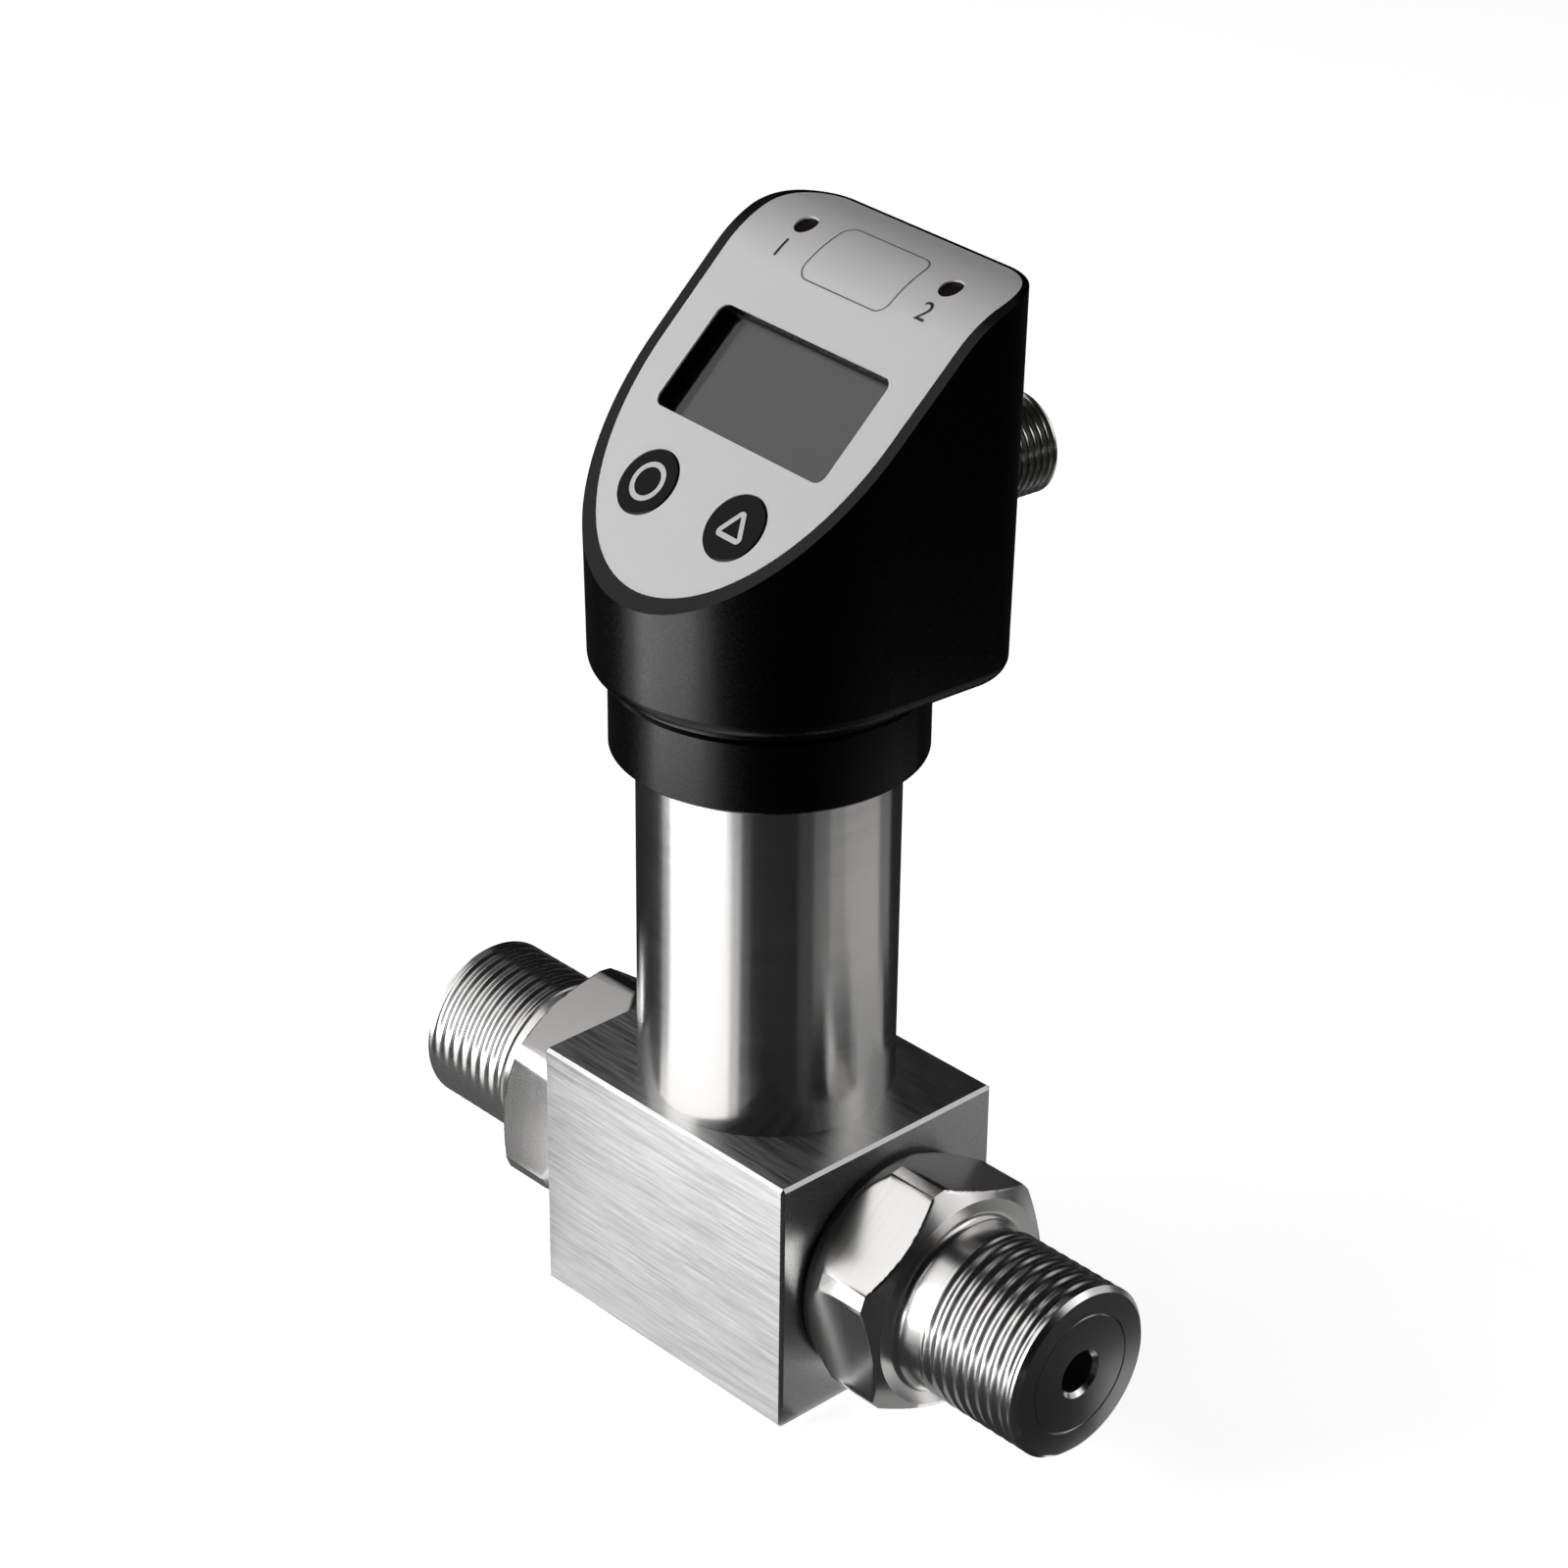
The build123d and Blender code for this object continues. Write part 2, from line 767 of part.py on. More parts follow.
def light_pipe(side):
    """Make one light pipe that ends a little below the face"""
    with BuildPart() as pipe:
        with BuildSketch(Plane.XY.offset(light_bottom)):
            with Locations((side * light_x, light_y)):
                Circle(light_r - light_clearance)
        extrude(amount=column_top - light_bottom)
        add(above_light, mode=Mode.SUBTRACT)
    return pipe


light_pipe_left = light_pipe(-1)
light_pipe_right = light_pipe(1)

with BuildPart() as status_leds:
    with BuildSketch(Plane.XY.offset(rear_board_top)):
        with Locations((-light_x, rear_board_middle), (light_x, rear_board_middle)):
            Rectangle(led_length, board_thickness)
    extrude(amount=led_height)

# Boards standing and lying in the head
with BuildPart() as rear_board:
    with BuildSketch(Plane.XY.offset(rear_board_bottom)):
        with Locations((0, rear_board_middle)):
            Rectangle(2 * rear_board_half_width, board_thickness)
    extrude(amount=rear_board_height)
    with BuildSketch(back_plane(rear_board_y)):
        with PolarLocations(pin_circle_r, 4, 45):
            Circle(pin_r + pin_hole_clearance)
    extrude(amount=board_thickness, mode=Mode.SUBTRACT)

with BuildPart() as main_board:
    with BuildSketch(Plane.XY.offset(main_board_bottom)):
        make_face(head_outline(
            half_width_at(main_board_bottom) - head_wall - main_board_inset,
            main_board_back,
            main_board_corner,
        ))
    extrude(amount=board_thickness)

with BuildPart() as cable_plug:
    with BuildSketch(Plane.XY.offset(main_board_bottom)):
        Circle(plug_r)
    extrude(amount=-plug_height)

# M12 connector: a threaded shell through the back, held by a nut inside
with BuildPart() as connector_shell:
    with BuildSketch(Plane.XY.offset(connector_height)):
        with BuildLine():
            Polyline(
                (connector_lip_r, nut_front),
                (connector_thread_r, nut_front),
                (connector_thread_r, boss_end),
                (connector_groove_low_r, boss_end),
                (connector_groove_low_r, boss_end + connector_groove_depth),
                (connector_groove_high_r, boss_end + connector_groove_depth),
                (connector_groove_high_r, boss_end),
                (connector_flange_r, boss_end),
                (connector_flange_r, boss_end + connector_flange),
                (connector_thread_r, boss_end + connector_flange),
                (connector_thread_r, connector_end - connector_edge),
                (connector_thread_r - connector_edge, connector_end),
                (connector_bore_r, connector_end),
                (connector_bore_r, insert_start),
                (connector_lip_r, insert_start),
                close=True,
            )
        make_face()
    revolve(axis=Axis((0, 0, connector_height), (0, 1, 0)))

with BuildPart() as connector_seal:
    with BuildSketch(Plane.XY.offset(connector_height)):
        with Locations((
            (connector_groove_low_r + connector_groove_high_r) / 2,
            boss_end + connector_seal_section,
        )):
            Circle(connector_seal_section)
    revolve(axis=Axis((0, 0, connector_height), (0, 1, 0)))

with BuildPart() as connector_insert:
    with BuildSketch(back_plane(insert_start)):
        Circle(connector_bore_r - insert_clearance)
    extrude(amount=socket_floor - insert_start)
    with BuildSketch(back_plane(socket_floor)):
        with Locations((0, connector_bore_r - insert_clearance - key_depth)):
            Rectangle(key_width, 2 * key_depth, align=(Align.CENTER, Align.MIN))
        Circle(connector_bore_r - insert_clearance, mode=Mode.INTERSECT)
    extrude(amount=connector_socket - key_setback)
    with BuildSketch(back_plane(insert_start)):
        with PolarLocations(pin_circle_r, 4, 45):
            Circle(pin_r)
    extrude(amount=socket_floor - insert_start, mode=Mode.SUBTRACT)

with BuildPart() as connector_pins:
    with BuildSketch(back_plane(rear_board_back - pin_tail)):
        with PolarLocations(pin_circle_r, 4, 45):
            Circle(pin_r)
    extrude(amount=connector_end - pin_setback - rear_board_back + pin_tail)
    chamfer(connector_pins.edges().filter_by(GeomType.CIRCLE).group_by(Axis.Y)[-1], pin_r / 3)

with BuildPart() as connector_nut:
    with BuildSketch(back_plane(nut_front)):
        RegularPolygon(nut_across_flats / 2, 6, major_radius=False)
        Circle(connector_thread_r + connector_clearance, mode=Mode.SUBTRACT)
    extrude(amount=nut_thickness)

# Write every piece under its own name, the head's pieces turned with the head
fixed_pieces = {
    "manifold_block": manifold_block,
    "port_fitting_high": port_fitting_high,
    "port_fitting_low": port_fitting_low,
    "fitting_seals": fitting_seals,
    "differential_capsule": differential_capsule,
    "capsule_diaphragms": capsule_diaphragms,
    "capsule_seals": capsule_seals,
    "capsule_leads": capsule_leads,
    "stem_tube": stem_tube,
    "board_holder": board_holder,
    "amplifier_board": amplifier_board,
    "signal_cable": signal_cable,
    "swivel_collar": swivel_collar,
    "swivel_seal": swivel_seal,
    "swivel_ring": swivel_ring,
    "stop_pin": stop_pin,
}
head_pieces = {
    "head_housing": head_housing,
    "face_label": face_label,
    "face_panel": face_panel,
    "display_window": display_window,
    "lcd_module": lcd_module,
    "display_board": display_board,
    "display_screws": display_screws,
    "button_left": button_left,
    "button_right": button_right,
    "tact_switch_left": tact_switch_left,
    "tact_switch_right": tact_switch_right,
    "light_pipe_left": light_pipe_left,
    "light_pipe_right": light_pipe_right,
    "status_leds": status_leds,
    "rear_board": rear_board,
    "main_board": main_board,
    "cable_plug": cable_plug,
    "connector_shell": connector_shell,
    "connector_insert": connector_insert,
    "connector_pins": connector_pins,
    "connector_seal": connector_seal,
    "connector_nut": connector_nut,
}
for piece in head_pieces.values():
    piece.part = Rotation(0, 0, head_turn) * piece.part

os.makedirs("parts", exist_ok=True)
for name, piece in (fixed_pieces | head_pieces).items():
    piece.part.label = name
    export_step(piece.part, f"parts/{name}.step")
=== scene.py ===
from math import acos, asin, ceil, cos, pi, radians, sin, sqrt, tan

import bmesh
import bpy
from mathutils import Matrix, Vector


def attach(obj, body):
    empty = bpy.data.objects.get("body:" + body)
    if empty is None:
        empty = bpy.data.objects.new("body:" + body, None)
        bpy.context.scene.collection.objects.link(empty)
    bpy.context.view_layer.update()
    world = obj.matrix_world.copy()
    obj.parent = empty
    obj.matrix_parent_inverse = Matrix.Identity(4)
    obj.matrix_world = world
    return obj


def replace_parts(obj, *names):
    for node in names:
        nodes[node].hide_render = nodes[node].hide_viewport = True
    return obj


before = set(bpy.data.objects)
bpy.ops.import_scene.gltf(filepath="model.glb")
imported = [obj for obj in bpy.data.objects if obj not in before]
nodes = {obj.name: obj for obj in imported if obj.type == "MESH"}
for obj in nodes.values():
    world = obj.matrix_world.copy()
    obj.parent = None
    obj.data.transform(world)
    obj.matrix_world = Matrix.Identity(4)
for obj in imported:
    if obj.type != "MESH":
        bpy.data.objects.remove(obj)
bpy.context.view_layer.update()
MM = 0.001

# The camera, as fitted to the photograph: focal length and size in its pixels
IMAGE_SIZE = 1600
FOCAL_PIXELS = 4142.52
CAMERA_AZIMUTH = 46.594
CAMERA_ELEVATION = 28.045
CAMERA_ROLL = 0.674
CAMERA_RIGHT = 2.389 * MM
CAMERA_UP = 61.50 * MM
CAMERA_DISTANCE = 487.41 * MM
CAMERA_CLIP = 10 * MM
SENSOR_WIDTH = 36.0

# The head is turned on its stem, and its face is a slope with a bend
HEAD_TURN = radians(-4.3)
FACE_ANGLE = radians(43.8)
FACE_HEIGHT = 117.45 * MM
BEND_START = 12.12 * MM
BEND_R = 15.54 * MM

# Port fittings, measured along X from the block's middle
PORT_HEIGHT = 16.25 * MM
SPIGOT_END = 8.3 * MM
SPIGOT_R = 12.0 * MM
BLOCK_SIDE = 20.5 * MM
HEX_SEAT_R = 13.0 * MM
HEX_START = 24.3 * MM
HEX_INRADIUS = 13.5 * MM
HEX_TURNED_R = 15.1 * MM
HEX_BEVEL_START = 30.9 * MM
HEX_END = 32.5 * MM
HEX_FACE_R = 12.75 * MM
NECK_FILLET_R = 11.3 * MM
NECK_START = 33.5 * MM
NECK_R = 10.3 * MM
THREAD_START = 36.3 * MM
THREAD_END = 50.1 * MM
THREAD_R = 10.4775 * MM
THREAD_PITCH = 1.72 * MM
THREAD_ORIGIN = 36.15 * MM
THREAD_DEPTH = 0.24 * MM
PORT_END = 51.0 * MM
PORT_EDGE = 0.6 * MM
RING_R = 7.4 * MM
RING_WIDTH = 0.3 * MM
RING_DEPTH = 0.25 * MM
BORE_R = 2.5 * MM
BORE_EDGE = 0.5 * MM

# The angle round X, in degrees, that the middle of a hexagon's flat looks to
HEX_FLAT_HIGH = 189.2
HEX_FLAT_LOW = 172.7

# Steps of the fittings' skin: round it, along a cone or fillet, and along a turn of the thread
PORT_ANGLES = 264
CONE_STEPS = 12
THREAD_ROWS = 16

# The share of its pitch in which a thread's groove fades out
THREAD_FADE = 0.4

# Rear connector, measured along its axis from the stem's
CONNECTOR_HEIGHT = 101.9 * MM
SHELL_TAIL = 17.2 * MM
SHELL_START = 24.4 * MM
SHELL_FLANGE_R = 7.6 * MM
SHELL_FLANGE_END = 26.0 * MM
SHELL_RELIEF = 0.3 * MM
SHELL_RELIEF_WIDTH = 0.4 * MM
SHELL_THREAD_R = 6.0 * MM
SHELL_PITCH = 1.0 * MM
SHELL_DEPTH = 0.55 * MM
SHELL_LAND = 0.2 * MM
SHELL_EDGE = 0.4 * MM
SHELL_END = 36.6 * MM
SHELL_BORE_R = 4.45 * MM
SHELL_ANGLES = 96
SHELL_ROWS = 10

# Printed marks on the face; a Y is a distance behind the stem's axis
PRINT_LIFT = 0.03 * MM
BLANK_LOW_Y = 8.85 * MM
BLANK_TOP_Y = 16.36 * MM
BLANK_LOW_HALF = 7.22 * MM
BLANK_TOP_HALF = 6.96 * MM
BLANK_CORNER_R = 1.6 * MM
BLANK_LINE = 0.16 * MM
NUMERAL_X = 12.04 * MM
NUMERAL_Y = 10.52 * MM
NUMERAL_SIZE = 2.6 * MM
FONT_RATIO = 1.4
NUMERAL_CUTS = 8
CORNER_STEPS = 8
SIDE_STEPS = 12

# Marks on the buttons
BUTTON_X = 7.53 * MM
BUTTON_RISE = -15.26 * MM
BUTTON_PROUD = 0.1 * MM
RING_MARK_OUTER = 2.4 * MM
RING_MARK_INNER = 1.75 * MM
RING_MARK_STEPS = 48
ARROW_HALF = 1.9 * MM
ARROW_BELOW = 1.3 * MM
ARROW_ABOVE = 1.95 * MM
ARROW_CORNER_R = 0.3 * MM
ARROW_LINE = 0.62 * MM

# Meshes: an edge is sharp from this angle, and points nearer than this are one
SHARP_ANGLE = radians(32)
WELD_DISTANCE = 1e-7

# Noise of the grains: its detail, and the range that is spread over a socket's values
NOISE_DETAIL = 3.0
NOISE_LOW = 0.3
NOISE_HIGH = 0.7


# Materials
def shader_inputs(paint):
    """Give the sockets of a material's main shader"""
    return paint.node_tree.nodes["Principled BSDF"].inputs


def material(name, color, metallic=0.0, roughness=0.5, **sockets):
    """Make a plain material; further sockets are named with _ for their spaces"""
    made = bpy.data.materials.new(name)
    made.use_nodes = True
    made.diffuse_color = (*color, 1.0)
    inputs = shader_inputs(made)
    inputs["Base Color"].default_value = (*color, 1.0)
    inputs["Metallic"].default_value = metallic
    inputs["Roughness"].default_value = roughness
    for socket, value in sockets.items():
        inputs[socket.replace("_", " ")].default_value = value
    return made


def follow_noise(paint, noise, socket, low, high):
    """Let a material's socket follow a noise between a low and a high value"""
    tree = paint.node_tree
    spread = tree.nodes.new("ShaderNodeMapRange")
    spread.inputs["From Min"].default_value = NOISE_LOW
    spread.inputs["From Max"].default_value = NOISE_HIGH
    spread.inputs["To Min"].default_value = low
    spread.inputs["To Max"].default_value = high
    tree.links.new(noise.outputs["Fac"], spread.inputs["Value"])
    tree.links.new(spread.outputs["Result"], shader_inputs(paint)[socket])


def grain(paint, scale, stretch, bump, depth, rough_low, rough_high):
    """Give a material a bump and a roughness from a noise with a scale for each axis"""
    tree = paint.node_tree
    place = tree.nodes.new("ShaderNodeTexCoord")
    mapping = tree.nodes.new("ShaderNodeMapping")
    mapping.inputs["Scale"].default_value = stretch
    noise = tree.nodes.new("ShaderNodeTexNoise")
    noise.inputs["Scale"].default_value = scale
    noise.inputs["Detail"].default_value = NOISE_DETAIL
    relief = tree.nodes.new("ShaderNodeBump")
    relief.inputs["Strength"].default_value = bump
    relief.inputs["Distance"].default_value = depth
    tree.links.new(place.outputs["Object"], mapping.inputs["Vector"])
    tree.links.new(mapping.outputs["Vector"], noise.inputs["Vector"])
    tree.links.new(noise.outputs["Fac"], relief.inputs["Height"])
    tree.links.new(relief.outputs["Normal"], shader_inputs(paint)["Normal"])
    follow_noise(paint, noise, "Roughness", rough_low, rough_high)
    return noise


def radial_tangent(paint, axis):
    """Run a turned metal's grooves round an axis"""
    tree = paint.node_tree
    tangent = tree.nodes.new("ShaderNodeTangent")
    tangent.direction_type = "RADIAL"
    tangent.axis = axis
    tree.links.new(tangent.outputs["Tangent"], shader_inputs(paint)["Tangent"])


def level_tangent(paint):
    """Run a brushed metal's grooves along X, and along Y on the faces across X"""
    tree = paint.node_tree
    geometry = tree.nodes.new("ShaderNodeNewGeometry")
    parts = tree.nodes.new("ShaderNodeSeparateXYZ")
    across = tree.nodes.new("ShaderNodeMath")
    across.operation = "ABSOLUTE"
    along = tree.nodes.new("ShaderNodeMath")
    along.operation = "SUBTRACT"
    along.inputs[0].default_value = 1.0
    vector = tree.nodes.new("ShaderNodeCombineXYZ")
    tree.links.new(geometry.outputs["Normal"], parts.inputs["Vector"])
    tree.links.new(parts.outputs["X"], across.inputs[0])
    tree.links.new(across.outputs["Value"], along.inputs[1])
    tree.links.new(along.outputs["Value"], vector.inputs["X"])
    tree.links.new(across.outputs["Value"], vector.inputs["Y"])
    tree.links.new(vector.outputs["Vector"], shader_inputs(paint)["Tangent"])


STEEL = (0.66, 0.65, 0.64)
BLOCK_STEEL = (0.47, 0.465, 0.46)
EVEN = (1.0, 1.0, 1.0)
FINE = 0.02 * MM

block_steel = material(
    "block_steel", BLOCK_STEEL, 1.0, 0.36, Anisotropic=0.6, Anisotropic_Rotation=0.25
)
brushed = grain(block_steel, 3000.0, (0.05, 1.0, 1.0), 0.2, FINE, 0.30, 0.42)
follow_noise(block_steel, brushed, "Base Color", 0.40, 0.53)
level_tangent(block_steel)

tube_steel = material(
    "tube_steel", STEEL, 1.0, 0.2, Anisotropic=0.7, Anisotropic_Rotation=0.25
)
grain(tube_steel, 500.0, (0.1, 0.1, 2.0), 0.015, FINE, 0.17, 0.21)
radial_tangent(tube_steel, "Z")

fitting_steel = material("fitting_steel", STEEL, 1.0, 0.24)
grain(fitting_steel, 900.0, (2.0, 0.03, 0.03), 0.006, FINE, 0.22, 0.26)

housing_black = material(
    "housing_black", (0.001, 0.001, 0.0011), 0.0, 0.4, Specular_IOR_Level=0.17
)
grain(housing_black, 2600.0, EVEN, 0.15, 0.03 * MM, 0.22, 0.30)

label_silver = material("label_silver", (0.90, 0.895, 0.895), 0.0, 0.45)
grain(label_silver, 3000.0, EVEN, 0.05, FINE, 0.38, 0.48)

window_smoke = material(
    "window_smoke",
    (0.5, 0.5, 0.5),
    0.0,
    0.05,
    Transmission_Weight=1.0,
    IOR=1.45,
    Specular_IOR_Level=0.15,
)
lcd_grey = material(
    "lcd_grey", (0.022, 0.022, 0.022), 0.0, 0.4, Specular_IOR_Level=0.12
)
button_black = material(
    "button_black", (0.002, 0.002, 0.002), 0.0, 0.35, Specular_IOR_Level=0.1
)
print_white = material("print_white", (0.80, 0.80, 0.80), 0.0, 0.5)
print_black = material("print_black", (0.02, 0.02, 0.02), 0.0, 0.55)
print_grey = material("print_grey", (0.16, 0.16, 0.16), 0.0, 0.55)
pipe_dark = material(
    "pipe_dark", (0.010, 0.004, 0.004), 0.0, 0.3, Specular_IOR_Level=0.15
)
seal_black = material("seal_black", (0.015, 0.015, 0.015), 0.0, 0.6)
board_green = material("board_green", (0.02, 0.14, 0.06), 0.0, 0.4)
grey_plastic = material("grey_plastic", (0.2, 0.2, 0.21), 0.0, 0.5)
led_clear = material("led_clear", (0.8, 0.78, 0.72), 0.0, 0.3)
spring_dark = material("spring_dark", (0.25, 0.25, 0.26), 1.0, 0.35)
gold = material("gold", (0.83, 0.62, 0.25), 1.0, 0.25)
nickel = material("nickel", (0.60, 0.59, 0.56), 1.0, 0.24)
insert_black = material("insert_black", (0.015, 0.015, 0.016), 0.0, 0.5)

NODE_MATERIALS = {
    "manifold_block": block_steel,
    "fitting_seals": seal_black,
    "differential_capsule": fitting_steel,
    "capsule_diaphragms": fitting_steel,
    "capsule_seals": seal_black,
    "capsule_leads": grey_plastic,
    "stem_tube": tube_steel,
    "board_holder": grey_plastic,
    "amplifier_board": board_green,
    "signal_cable": grey_plastic,
    "swivel_collar": housing_black,
    "swivel_seal": seal_black,
    "swivel_ring": spring_dark,
    "stop_pin": spring_dark,
    "head_housing": housing_black,
    "face_label": label_silver,
    "face_panel": housing_black,
    "display_window": window_smoke,
    "lcd_module": lcd_grey,
    "display_board": board_green,
    "display_screws": spring_dark,
    "button_left": button_black,
    "button_right": button_black,
    "tact_switch_left": grey_plastic,
    "tact_switch_right": grey_plastic,
    "light_pipe_left": pipe_dark,
    "light_pipe_right": pipe_dark,
    "status_leds": led_clear,
    "rear_board": board_green,
    "main_board": board_green,
    "cable_plug": grey_plastic,
    "connector_insert": insert_black,
    "connector_pins": gold,
    "connector_seal": seal_black,
    "connector_nut": nickel,
}
for node_name, node_material in NODE_MATERIALS.items():
    for material_slot in nodes[node_name].material_slots:
        material_slot.material = node_material


# Meshes
def new_object(name, vertices, faces, body, paint):
    """Make a mesh object that rides on a body, smooth but for its sharp edges"""
    mesh = bpy.data.meshes.new(name)
    mesh.from_pydata(vertices, [], faces)
    shaped = bmesh.new()
    shaped.from_mesh(mesh)
    bmesh.ops.remove_doubles(shaped, verts=shaped.verts, dist=WELD_DISTANCE)
    bmesh.ops.recalc_face_normals(shaped, faces=shaped.faces)
    for face in shaped.faces:
        face.smooth = True
    for edge in shaped.edges:
        edge.smooth = len(edge.link_faces) != 2 or edge.calc_face_angle(0.0) < SHARP_ANGLE
    shaped.to_mesh(mesh)
    shaped.free()
    mesh.materials.append(paint)
    made = bpy.data.objects.new(name, mesh)
    bpy.context.collection.objects.link(made)
    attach(made, body)
    return made


def even_angles(count):
    """Divide a turn evenly"""
    return [2 * pi * k / count for k in range(count)]


def turned(stations, angles, place):
    """Give the vertices and faces of a skin through rings of points

    A station is a ring's distance along the axis and its radius at an angle.
    """
    count = len(angles)
    vertices = [
        place(along, radius(angle), angle) for along, radius in stations for angle in angles
    ]
    faces = []
    for row in range(len(stations) - 1):
        for column in range(count):
            right = (column + 1) % count
            faces.append((
                row * count + column,
                row * count + right,
                (row + 1) * count + right,
                (row + 1) * count + column,
            ))
    return vertices, faces


def constant(radius):
    """Give a round ring's radius"""
    return lambda angle: radius


def thread_ring(along, start, end, major, pitch, depth, hand):
    """Give a ring of a screw thread, whose groove fades in and out at the thread's ends"""
    reach = THREAD_FADE * pitch
    fade = min(1.0, max(0.0, (along - start) / reach), max(0.0, (end - along) / reach))

    def radius(angle):
        phase = ((along - THREAD_ORIGIN) / pitch - hand * angle / (2 * pi)) % 1.0
        groove = 0.5 - 0.5 * cos(2 * pi * phase)
        return major - depth * fade * groove

    return radius


def helix(hand, angles, place):
    """Give the vertices and faces of a port's thread, in rows that follow its helix"""
    step = THREAD_PITCH / THREAD_ROWS
    last_row = ceil((THREAD_END - THREAD_START) / step)
    rows = range(-THREAD_ROWS, last_row + THREAD_ROWS + 1)
    count = len(angles)
    vertices = []
    for row in rows:
        for angle in angles:
            along = THREAD_START + row * step + hand * THREAD_PITCH * angle / (2 * pi)
            along = min(THREAD_END, max(THREAD_START, along))
            radius = thread_ring(
                along, THREAD_START, THREAD_END, THREAD_R, THREAD_PITCH, THREAD_DEPTH, hand
            )
            vertices.append(place(along, radius(angle), angle))
    faces = []
    for row in range(len(rows) - 1):
        for column in range(count):
            right = (column + 1) % count
            shift = hand * THREAD_ROWS if right == 0 else 0
            if 0 <= row + shift < len(rows) - 1:
                faces.append((
                    row * count + column,
                    (row + shift) * count + right,
                    (row + shift + 1) * count + right,
                    (row + 1) * count + column,
                ))
    return vertices, faces


def port_piece(name, side, flat_degrees, paint):
    """Turn a port fitting with its hexagon, thread, end face and bore"""
    flat_angle = radians(flat_degrees)

    def hex_ring(limit):
        def radius(angle):
            sector = (angle - flat_angle + pi / 6) % (pi / 3) - pi / 6
            return min(limit, HEX_INRADIUS / cos(sector))

        return radius

    stations = [
        (SPIGOT_END, constant(BORE_R)),
        (SPIGOT_END, constant(SPIGOT_R)),
        (BLOCK_SIDE, constant(SPIGOT_R)),
        (BLOCK_SIDE, constant(HEX_SEAT_R)),
    ]
    for i in range(1, CONE_STEPS + 1):
        share = i / CONE_STEPS
        stations.append((
            BLOCK_SIDE + (HEX_START - BLOCK_SIDE) * share,
            hex_ring(HEX_SEAT_R + (HEX_TURNED_R - HEX_SEAT_R) * share),
        ))
    for i in range(CONE_STEPS + 1):
        share = i / CONE_STEPS
        stations.append((
            HEX_BEVEL_START + (HEX_END - HEX_BEVEL_START) * share,
            hex_ring(HEX_TURNED_R - (HEX_TURNED_R - HEX_FACE_R) * share),
        ))
    for i in range(CONE_STEPS // 2 + 1):
        swing = pi / CONE_STEPS * i
        stations.append((
            NECK_START - (NECK_START - HEX_END) * cos(swing),
            constant(NECK_FILLET_R - (NECK_FILLET_R - NECK_R) * sin(swing)),
        ))
    stations += [
        (THREAD_START, constant(NECK_R)),
        (THREAD_START, constant(THREAD_R)),
    ]
    thread_row = len(stations) - 1
    stations += [
        (THREAD_END, constant(THREAD_R)),
        (PORT_END - PORT_EDGE, constant(THREAD_R)),
        (PORT_END, constant(THREAD_R - PORT_EDGE)),
        (PORT_END, constant(RING_R)),
        (PORT_END - RING_DEPTH, constant(RING_R)),
        (PORT_END - RING_DEPTH, constant(RING_R - RING_WIDTH)),
        (PORT_END, constant(RING_R - RING_WIDTH)),
        (PORT_END, constant(BORE_R + BORE_EDGE)),
        (PORT_END - BORE_EDGE, constant(BORE_R)),
        (SPIGOT_END, constant(BORE_R)),
    ]
    flat_half = acos(HEX_INRADIUS / HEX_TURNED_R)
    corners = [flat_angle + k * pi / 3 + end for k in range(6) for end in (-flat_half, flat_half)]
    angles = sorted({round(a % (2 * pi), 6) for a in even_angles(PORT_ANGLES) + corners})

    def place(along, radius, angle):
        return (side * along, radius * cos(angle), PORT_HEIGHT + radius * sin(angle))

    # The helix takes the place of the plain row of faces between the thread's ends
    vertices, faces = turned(stations, angles, place)
    count = len(angles)
    del faces[thread_row * count:(thread_row + 1) * count]
    helix_vertices, helix_faces = helix(side, angles, place)
    first = len(vertices)
    faces += [tuple(first + corner for corner in face) for face in helix_faces]
    return new_object(name, vertices + helix_vertices, faces, "base", paint)


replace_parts(port_piece("fitting_high", 1, HEX_FLAT_HIGH, fitting_steel), "port_fitting_high")
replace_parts(port_piece("fitting_low", -1, HEX_FLAT_LOW, fitting_steel), "port_fitting_low")


def turn_head(point):
    """Turn a point of the straight head to where the head stands"""
    x, y, z = point
    return (x * cos(HEAD_TURN) - y * sin(HEAD_TURN), x * sin(HEAD_TURN) + y * cos(HEAD_TURN), z)


